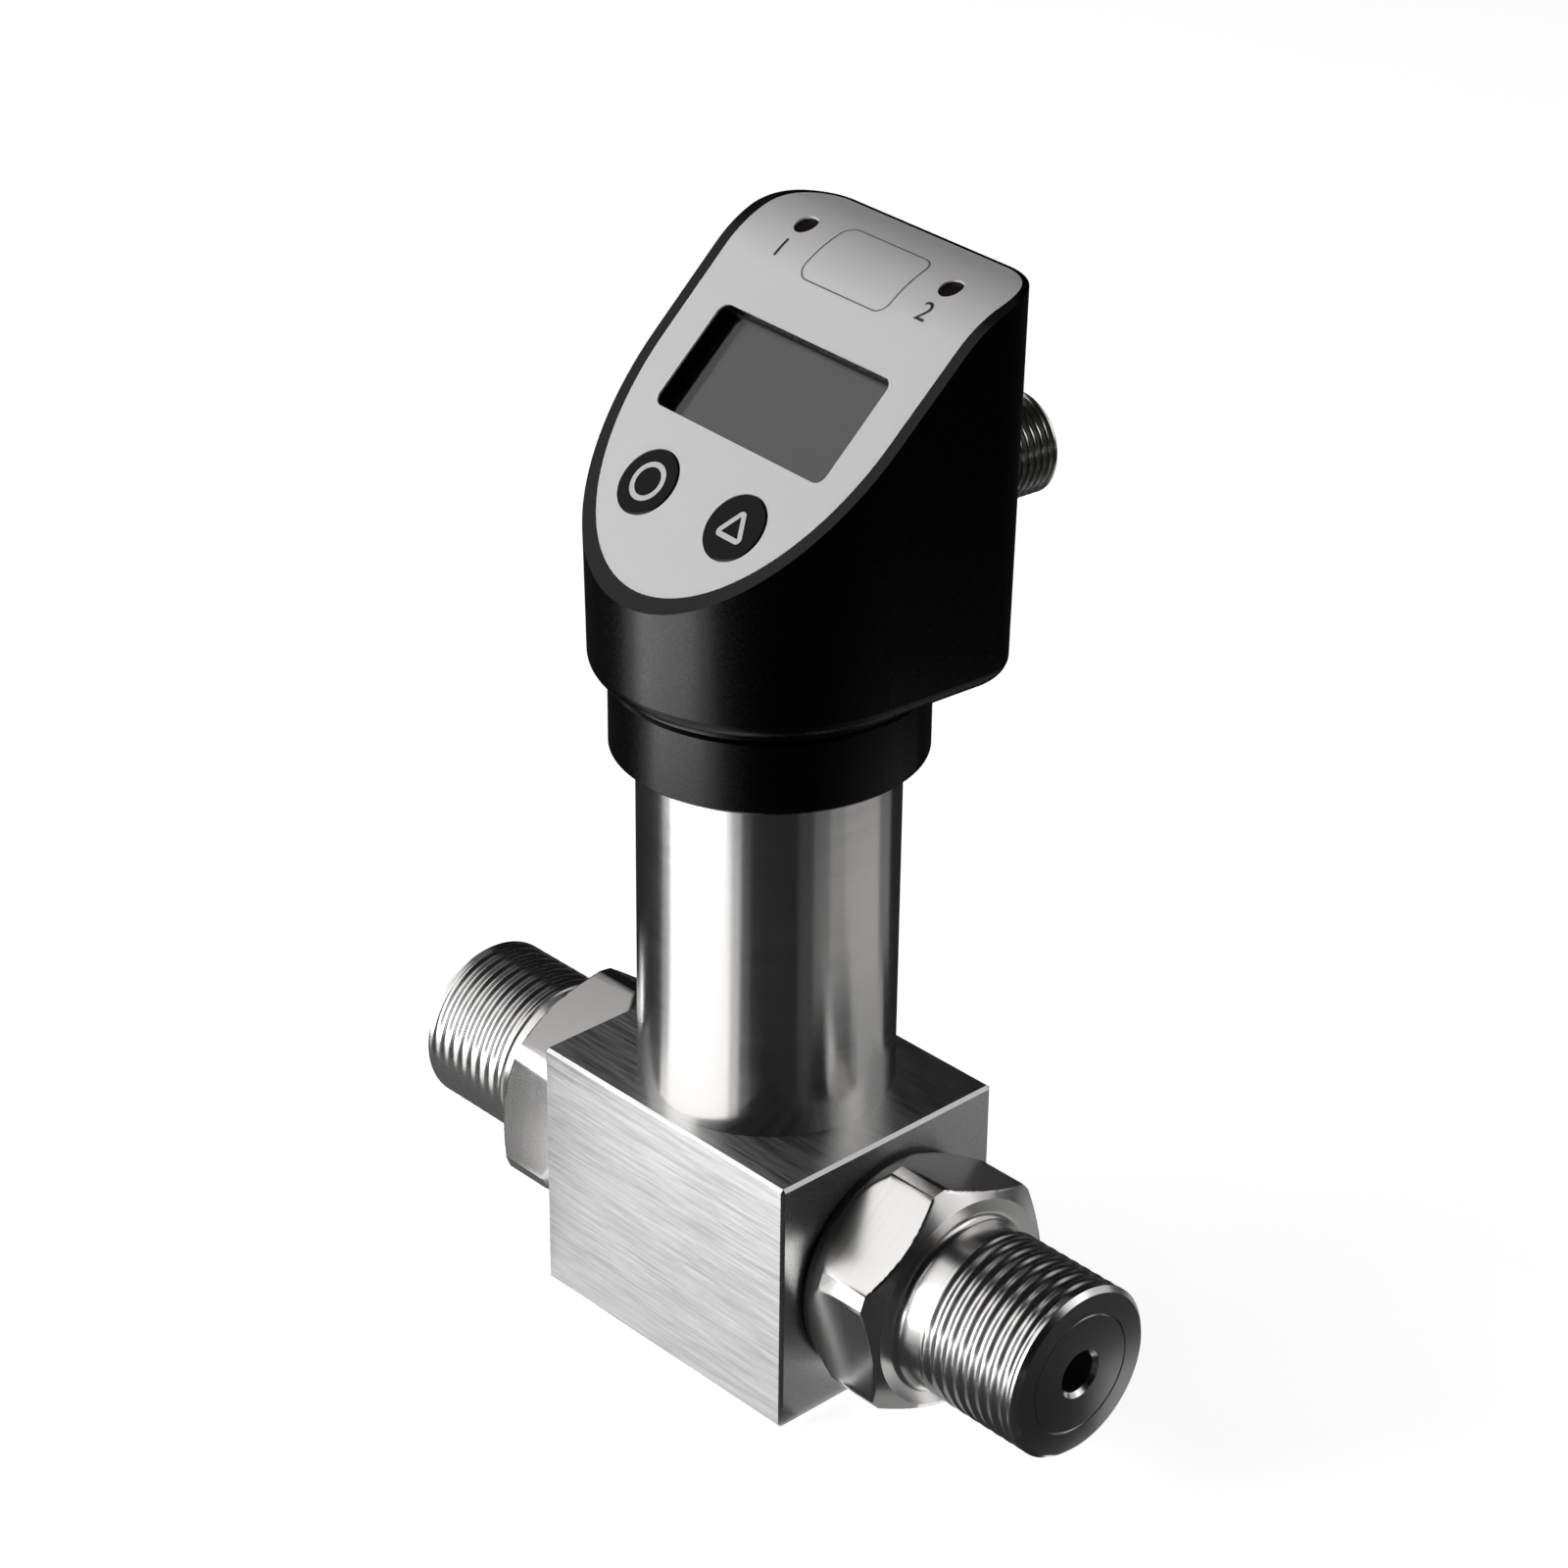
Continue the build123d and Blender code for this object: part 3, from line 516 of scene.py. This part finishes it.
def shell_piece(paint):
    """Turn the rear connector's shell with its thread"""
    step = SHELL_PITCH / SHELL_ROWS
    start = SHELL_FLANGE_END + SHELL_RELIEF_WIDTH
    end = SHELL_END - SHELL_EDGE - SHELL_LAND
    stations = [
        (SHELL_TAIL, constant(SHELL_BORE_R)),
        (SHELL_TAIL, constant(SHELL_THREAD_R)),
        (SHELL_START, constant(SHELL_THREAD_R)),
        (SHELL_START, constant(SHELL_FLANGE_R)),
        (SHELL_FLANGE_END, constant(SHELL_FLANGE_R)),
        (SHELL_FLANGE_END, constant(SHELL_THREAD_R - SHELL_RELIEF)),
        (start, constant(SHELL_THREAD_R - SHELL_RELIEF)),
        (start, constant(SHELL_THREAD_R)),
    ]
    for i in range(1, ceil((end - start) / step)):
        along = start + i * step
        stations.append((
            along,
            thread_ring(along, start, end, SHELL_THREAD_R, SHELL_PITCH, SHELL_DEPTH, 1),
        ))
    stations += [
        (end, constant(SHELL_THREAD_R)),
        (SHELL_END - SHELL_EDGE, constant(SHELL_THREAD_R)),
        (SHELL_END, constant(SHELL_THREAD_R - SHELL_EDGE)),
        (SHELL_END, constant(SHELL_BORE_R)),
        (SHELL_TAIL, constant(SHELL_BORE_R)),
    ]

    def place(along, radius, angle):
        return turn_head((radius * cos(angle), along, CONNECTOR_HEIGHT + radius * sin(angle)))

    vertices, faces = turned(stations, even_angles(SHELL_ANGLES), place)
    return new_object("connector_thread", vertices, faces, "head", paint)


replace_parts(shell_piece(nickel), "connector_shell")


# Printed marks: flat outlines in the face's own measure, laid on the curved face
BEND_Y = BEND_START * cos(FACE_ANGLE) + BEND_R * sin(FACE_ANGLE)
BEND_Z = FACE_HEIGHT + BEND_START * sin(FACE_ANGLE) - BEND_R * cos(FACE_ANGLE)


def face_place(across, rise, lift):
    """Give the place of a point on the face: across it, up its slope and round its bend"""
    if rise <= BEND_START:
        lean = FACE_ANGLE
        y = rise * cos(FACE_ANGLE)
        z = FACE_HEIGHT + rise * sin(FACE_ANGLE)
    else:
        lean = FACE_ANGLE - (rise - BEND_START) / BEND_R
        y = BEND_Y - BEND_R * sin(lean)
        z = BEND_Z + BEND_R * cos(lean)
    return turn_head((across, y - lift * sin(lean), z + lift * cos(lean)))


def rise_at(y):
    """Give the distance up the face at which it is a distance y behind the stem's axis"""
    if y <= BEND_START * cos(FACE_ANGLE):
        return y / cos(FACE_ANGLE)
    return BEND_START + BEND_R * (FACE_ANGLE - asin((BEND_Y - y) / BEND_R))


def strip_mark(name, outline, width, paint, body="head", lift=PRINT_LIFT):
    """Print a closed line of a width along an outline of (across, rise) points"""
    count = len(outline)
    vertices = []
    for i, (across, rise) in enumerate(outline):
        before = outline[i - 1]
        after = outline[(i + 1) % count]
        run = sqrt((after[0] - before[0]) ** 2 + (after[1] - before[1]) ** 2)
        side = (-(after[1] - before[1]) / run, (after[0] - before[0]) / run)
        for offset in (-width / 2, width / 2):
            vertices.append(face_place(across + side[0] * offset, rise + side[1] * offset, lift))
    faces = []
    for i in range(count):
        j = (i + 1) % count
        faces.append((2 * i, 2 * i + 1, 2 * j + 1, 2 * j))
    return new_object(name, vertices, faces, body, paint)


def rounded(points, radius):
    """Round the corners of a closed outline and divide its sides"""
    outline = []
    count = len(points)
    for i, point in enumerate(points):
        here = Vector(point)
        before = Vector(points[i - 1])
        after = Vector(points[(i + 1) % count])
        towards = (before - here).normalized()
        away = (after - here).normalized()
        half = towards.angle(away) / 2
        reach = radius / tan(half)
        centre = here + (towards + away).normalized() * radius / sin(half)
        first = here + towards * reach - centre
        last = here + away * reach - centre
        for k in range(CORNER_STEPS + 1):
            swing = first.lerp(last, k / CORNER_STEPS).normalized() * radius
            outline.append(centre + swing)
        target = after + (here - after).normalized() * reach
        start = here + away * reach
        for k in range(1, SIDE_STEPS):
            outline.append(start.lerp(target, k / SIDE_STEPS))
    return [tuple(point) for point in outline]


blank_low = rise_at(BLANK_LOW_Y)
blank_top = rise_at(BLANK_TOP_Y)
blank_outline = [
    (-BLANK_LOW_HALF, blank_low),
    (BLANK_LOW_HALF, blank_low),
    (BLANK_TOP_HALF, blank_top),
    (-BLANK_TOP_HALF, blank_top),
]
strip_mark(
    "blank_frame_line",
    rounded(blank_outline, BLANK_CORNER_R),
    BLANK_LINE,
    print_grey,
)

ring_middle = (RING_MARK_OUTER + RING_MARK_INNER) / 2
ring_outline = [
    (-BUTTON_X + ring_middle * cos(angle), BUTTON_RISE + ring_middle * sin(angle))
    for angle in even_angles(RING_MARK_STEPS)
]
strip_mark(
    "ring_mark",
    ring_outline,
    RING_MARK_OUTER - RING_MARK_INNER,
    print_white,
    "left_button",
    BUTTON_PROUD + PRINT_LIFT,
)

arrow_outline = [
    (BUTTON_X - ARROW_HALF, BUTTON_RISE - ARROW_BELOW),
    (BUTTON_X + ARROW_HALF, BUTTON_RISE - ARROW_BELOW),
    (BUTTON_X, BUTTON_RISE + ARROW_ABOVE),
]
strip_mark(
    "arrow_mark",
    rounded(arrow_outline, ARROW_CORNER_R),
    ARROW_LINE,
    print_white,
    "right_button",
    BUTTON_PROUD + PRINT_LIFT,
)


def numeral(name, text, across, rise, height):
    """Print a numeral on the face in the built-in font, cut so that it follows the bend"""
    curve = bpy.data.curves.new(name, "FONT")
    curve.body = text
    curve.size = height * FONT_RATIO
    curve.align_x = "CENTER"
    curve.align_y = "CENTER"
    flat = bpy.data.objects.new(name + "_outline", curve)
    bpy.context.collection.objects.link(flat)
    bpy.context.view_layer.update()
    sliced = bmesh.new()
    sliced.from_mesh(flat.to_mesh())
    for k in range(-NUMERAL_CUTS, NUMERAL_CUTS + 1):
        bmesh.ops.bisect_plane(
            sliced,
            geom=sliced.verts[:] + sliced.edges[:] + sliced.faces[:],
            plane_co=(0, height * k / (2 * NUMERAL_CUTS), 0),
            plane_no=(0, 1, 0),
        )
    sliced.verts.index_update()
    vertices = [
        face_place(across + vertex.co.x, rise + vertex.co.y, PRINT_LIFT) for vertex in sliced.verts
    ]
    faces = [tuple(vertex.index for vertex in face.verts) for face in sliced.faces]
    sliced.free()
    flat.to_mesh_clear()
    bpy.data.objects.remove(flat)
    bpy.data.curves.remove(curve)
    return new_object(name, vertices, faces, "head", print_black)


numeral_rise = rise_at(NUMERAL_Y)
numeral("numeral_left", "1", -NUMERAL_X, numeral_rise, NUMERAL_SIZE)
numeral("numeral_right", "2", NUMERAL_X, numeral_rise, NUMERAL_SIZE)


# Stage: a pale floor and world, cards that metal and gloss reflect, lamps and the camera
WHITE = (1.0, 1.0, 1.0, 1.0)
FLOOR_GLOW = 0.85
WORLD_GLOW = 0.97
AMBIENT = 0.03

# Heights of the floor, the cards on it and the patches, which lie just above each other
FLOOR_Z = -0.2 * MM
CARD_Z = -0.1 * MM
PATCH_Z = -0.05 * MM
FLOOR_HALF = 4.0


def pale_to_view(tree, strength):
    """Give a strength to camera, glossy and transmission rays and nothing to others"""
    path = tree.nodes.new("ShaderNodeLightPath")
    either = tree.nodes.new("ShaderNodeMath")
    either.operation = "MAXIMUM"
    any_of = tree.nodes.new("ShaderNodeMath")
    any_of.operation = "MAXIMUM"
    tree.links.new(path.outputs["Is Camera Ray"], either.inputs[0])
    tree.links.new(path.outputs["Is Glossy Ray"], either.inputs[1])
    tree.links.new(either.outputs["Value"], any_of.inputs[0])
    tree.links.new(path.outputs["Is Transmission Ray"], any_of.inputs[1])
    scaled = tree.nodes.new("ShaderNodeMath")
    scaled.operation = "MULTIPLY"
    scaled.inputs[1].default_value = strength
    tree.links.new(any_of.outputs["Value"], scaled.inputs[0])
    return scaled.outputs["Value"]


def stage_piece(name, vertices, faces, paint):
    """Make a piece of the stage"""
    mesh = bpy.data.meshes.new(name)
    mesh.from_pydata(vertices, [], faces)
    mesh.materials.append(paint)
    made = bpy.data.objects.new(name, mesh)
    bpy.context.collection.objects.link(made)
    return made


floor_paint = material("floor_pale", (0.82, 0.82, 0.82), 0.0, 0.9, Emission_Color=WHITE)
floor_paint.node_tree.links.new(
    pale_to_view(floor_paint.node_tree, FLOOR_GLOW), shader_inputs(floor_paint)["Emission Strength"]
)
SQUARE = ((-1, -1), (1, -1), (1, 1), (-1, 1))
floor_corners = [(FLOOR_HALF * i, FLOOR_HALF * j, FLOOR_Z) for i, j in SQUARE]
stage_piece("floor", floor_corners, [(0, 1, 2, 3)], floor_paint)


def from_camera(left_degrees, up_degrees, distance):
    """Give a place by its angle left of the camera's direction and above the horizon"""
    turn = radians(CAMERA_AZIMUTH - left_degrees)
    flat = cos(radians(up_degrees)) * distance
    return Vector((sin(turn) * flat, -cos(turn) * flat, sin(radians(up_degrees)) * distance))


def reflected_card(name, vertices, faces, glow):
    """Place a glowing or dark card that only metal and gloss reflect"""
    paint = material(
        name, (0.0, 0.0, 0.0), 0.0, 1.0, Emission_Color=WHITE, Emission_Strength=glow
    )
    card = stage_piece(name, vertices, faces, paint)
    card.visible_camera = False
    card.visible_diffuse = False
    card.visible_shadow = False
    card.visible_transmission = False


def floor_card(name, first, last, near, far, glow):
    """Lay a card on the floor round the object, between two directions and two distances"""
    steps = 12
    vertices = []
    for i in range(steps + 1):
        for distance in (near, far):
            spot = from_camera(first + (last - first) * i / steps, 0, distance)
            vertices.append((spot.x, spot.y, CARD_Z))
    faces = [(2 * i, 2 * i + 1, 2 * i + 3, 2 * i + 2) for i in range(steps)]
    reflected_card(name, vertices, faces, glow)


def hung_card(name, left_degrees, up_degrees, distance, half_width, half_height, glow):
    """Hang a card that faces the object, at a place given as from_camera takes it"""
    middle = from_camera(left_degrees, up_degrees, distance)
    across = Vector((-middle.y, middle.x, 0)).normalized() * half_width
    rise = middle.cross(across).normalized() * half_height
    corners = [middle + across * i + rise * j for i, j in SQUARE]
    reflected_card(name, corners, [(0, 1, 2, 3)], glow)


# Each floor card: its first and last angle left of the camera, its nearest and farthest reach and
# its glow. The block and the fittings mirror the floor up to NEAR_REACH, the tube up to MID_REACH
# and the head beyond it.
SIDE_REACH = 0.050
NEAR_REACH = 0.060
REAR_REACH = 0.075
FAR_START = 0.095
MID_REACH = 0.163
FAR_REACH = 1.5
CARDS = [
    (98, 180, 0.0, REAR_REACH, 0.12),
    (98, 180, REAR_REACH, FAR_REACH, 0.01),
    (88, 98, REAR_REACH, MID_REACH, 0.35),
    (30, 98, 0.0, NEAR_REACH, 1.1),
    (30, 88, NEAR_REACH, MID_REACH, 1.45),
    (86, 98, MID_REACH, FAR_REACH, 1.2),
    (44, 86, MID_REACH, FAR_REACH, 7.5),
    (34, 44, MID_REACH, FAR_REACH, 3.0),
    (-45, 30, 0.0, NEAR_REACH, 1.1),
    (22, 30, NEAR_REACH, MID_REACH, 0.7),
    (14, 22, NEAR_REACH, MID_REACH, 0.1),
    (-25, 14, NEAR_REACH, MID_REACH, 0.01),
    (-38, -25, NEAR_REACH, MID_REACH, 0.06),
    (-45, -38, NEAR_REACH, MID_REACH, 0.18),
    (-115, -45, 0.0, SIDE_REACH, 0.03),
    (-115, -45, SIDE_REACH, FAR_START, 0.35),
    (-52, -45, FAR_START, MID_REACH, 0.2),
    (-66, -52, FAR_START, MID_REACH, 0.38),
    (-106, -66, FAR_START, MID_REACH, 0.48),
    (-124, -106, FAR_START, MID_REACH, 0.2),
    (-180, -115, 0.0, FAR_START, 0.01),
    (-180, -124, FAR_START, MID_REACH, 0.01),
    (-180, 34, MID_REACH, FAR_REACH, 0.01),
]
for card_number, (first, last, near, far, glow) in enumerate(CARDS):
    floor_card(f"card_{card_number}", first, last, near, far, glow)

# Patches of floor near the right fitting: their glow and corners
PATCHES = [
    (0.015, [(0.0212, -0.045), (0.075, -0.045), (0.075, -0.013), (0.0212, -0.013)]),
    (0.3, [(0.0212, -0.013), (0.036, -0.013), (0.036, -0.004), (0.0212, -0.004)]),
    (0.02, [(0.036, -0.013), (0.057, -0.013), (0.057, -0.001), (0.036, -0.001)]),
    (0.004, [
        (0.054, -0.013),
        (0.075, -0.008),
        (0.090, 0.022),
        (0.090, 0.045),
        (0.0645, 0.045),
        (0.0645, 0.020),
        (0.057, 0.010),
    ]),
]
for patch_number, (glow, corners) in enumerate(PATCHES):
    patch_vertices = [(x, y, PATCH_Z) for x, y in corners]
    patch_face = tuple(range(len(corners)))
    reflected_card(f"patch_{patch_number}", patch_vertices, [patch_face], glow)

# A dark screen keeps the patches from the lower right corner of the block's front
SCREEN_X = 0.0207
SCREEN_NEAR = -0.0166
SCREEN_FAR = -0.030
SCREEN_TOP = 0.016
screen_corners = [
    (SCREEN_X, SCREEN_NEAR, 0.0),
    (SCREEN_X, SCREEN_FAR, 0.0),
    (SCREEN_X, SCREEN_FAR, SCREEN_TOP),
    (SCREEN_X, SCREEN_NEAR, SCREEN_TOP),
]
reflected_card("screen_right", screen_corners, [(0, 1, 2, 3)], 0.015)

# Each hung card: its angle left of the camera and above the horizon, its distance, half its width
# and height, and its glow
HUNG_CARDS = {
    "card_high": (85, 27, 1.0, 0.80, 0.45, 0.42),
    "card_rear": (138, 46, 1.1, 0.55, 0.45, 0.12),
    "card_side": (-106, 32, 1.0, 0.40, 0.45, 0.7),
}
for card_name, measures in HUNG_CARDS.items():
    hung_card(card_name, *measures)

# A dark dome stands where metal would else mirror the white world
DOME_R = 3.0
DOME_SIDES = 12
DOME_RINGS = 6
dome_vertices = [
    from_camera(360 / DOME_SIDES * i, 90 / DOME_RINGS * j, DOME_R)
    for j in range(DOME_RINGS)
    for i in range(DOME_SIDES)
]
dome_vertices.append(Vector((0, 0, DOME_R)))
dome_faces = []
for j in range(DOME_RINGS):
    for i in range(DOME_SIDES):
        one = DOME_SIDES * j + i
        other = DOME_SIDES * j + (i + 1) % DOME_SIDES
        if j < DOME_RINGS - 1:
            dome_faces.append((one, other, other + DOME_SIDES, one + DOME_SIDES))
        else:
            dome_faces.append((one, other, DOME_SIDES * DOME_RINGS))
reflected_card("dark_dome", dome_vertices, dome_faces, 0.0)


def soft_lamp(name, place, size, watts):
    """Hang a soft rectangular lamp that looks at the target"""
    data = bpy.data.lights.new(name, "AREA")
    data.shape = "RECTANGLE"
    data.size, data.size_y = size
    data.energy = watts
    lamp = bpy.data.objects.new(name, data)
    turn = (place - TARGET).to_track_quat("Z", "Y").to_matrix().to_4x4()
    lamp.matrix_world = Matrix.Translation(place) @ turn
    bpy.context.collection.objects.link(lamp)


TARGET = Vector((0, 0, 0.07))
soft_lamp("lamp_left", TARGET + from_camera(78, 10, 0.75), (0.42, 0.45), 3.0)
soft_lamp("lamp_high", TARGET + from_camera(98, 40, 0.75), (0.75, 0.60), 1.35)
soft_lamp("lamp_right", TARGET + from_camera(-78, 28, 0.80), (0.40, 0.45), 0.65)

world = bpy.data.worlds.new("studio")
bpy.context.scene.world = world
world.use_nodes = True
background = world.node_tree.nodes["Background"]
background.inputs["Color"].default_value = WHITE
ambient = world.node_tree.nodes.new("ShaderNodeMath")
ambient.operation = "ADD"
ambient.inputs[1].default_value = AMBIENT
world.node_tree.links.new(pale_to_view(world.node_tree, WORLD_GLOW), ambient.inputs[0])
world.node_tree.links.new(ambient.outputs["Value"], background.inputs["Strength"])

right = Vector((cos(radians(CAMERA_AZIMUTH)), sin(radians(CAMERA_AZIMUTH)), 0))
back = from_camera(0, CAMERA_ELEVATION, 1.0)
up = right.cross(-back)
roll = radians(CAMERA_ROLL)
image_right = cos(roll) * right + sin(roll) * up
image_up = -sin(roll) * right + cos(roll) * up
camera_place = back * CAMERA_DISTANCE + image_right * CAMERA_RIGHT + image_up * CAMERA_UP
camera_data = bpy.data.cameras.new("camera")
camera_data.sensor_width = SENSOR_WIDTH
camera_data.lens = FOCAL_PIXELS / IMAGE_SIZE * SENSOR_WIDTH
camera_data.clip_start = CAMERA_CLIP
camera = bpy.data.objects.new("camera", camera_data)
camera.matrix_world = Matrix((
    (image_right.x, image_up.x, back.x, camera_place.x),
    (image_right.y, image_up.y, back.y, camera_place.y),
    (image_right.z, image_up.z, back.z, camera_place.z),
    (0, 0, 0, 1),
))
bpy.context.collection.objects.link(camera)
bpy.context.scene.camera = camera
bpy.context.scene.view_settings.view_transform = "Standard"
